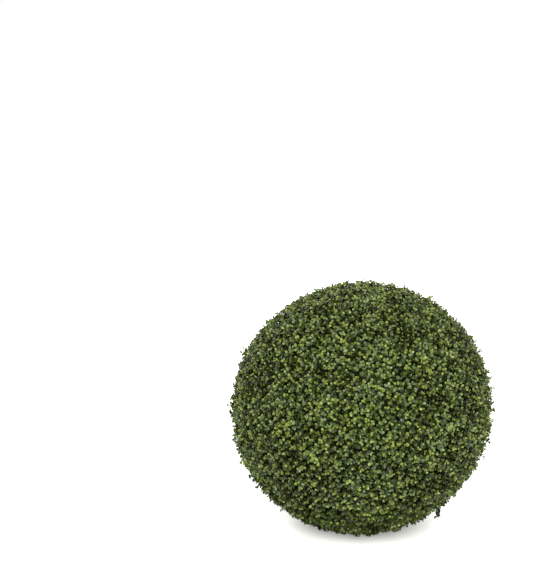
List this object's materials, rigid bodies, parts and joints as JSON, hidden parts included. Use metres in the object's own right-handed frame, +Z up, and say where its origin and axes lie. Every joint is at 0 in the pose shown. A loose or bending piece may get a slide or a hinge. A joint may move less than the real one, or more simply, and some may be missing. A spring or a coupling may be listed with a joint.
{
  "type": "artificial box topiary ball",
  "caption": "Ball of densely clipped artificial box foliage that rests on the ground, with a hidden stem and boughs inside.",
  "frame": {"origin": "middle of the flat cut under the stem, at ground level", "axes": "+Z up; -Y faces the side that the picture shows"},
  "size_m": [0.5433, 0.5485, 0.5198],
  "materials": {
    "bark": "rough moulded bark",
    "leaves": "satin"
  },
  "bodies": {
    "root": {"stem": "bark", "bough_top": "bark", "bough_upper_1": "bark", "bough_upper_2": "bark", "bough_upper_3": "bark", "bough_upper_4": "bark", "bough_upper_5": "bark", "bough_lower_1": "bark", "bough_lower_2": "bark", "bough_lower_3": "bark", "bough_lower_4": "bark", "bough_lower_5": "bark", "foliage_top": "leaves", "foliage_upper_1": "leaves", "foliage_upper_2": "leaves", "foliage_upper_3": "leaves", "foliage_upper_4": "leaves", "foliage_upper_5": "leaves", "foliage_lower_1": "leaves", "foliage_lower_2": "leaves", "foliage_lower_3": "leaves", "foliage_lower_4": "leaves", "foliage_lower_5": "leaves", "foliage_foot": "leaves"}
  },
  "joints": []
}
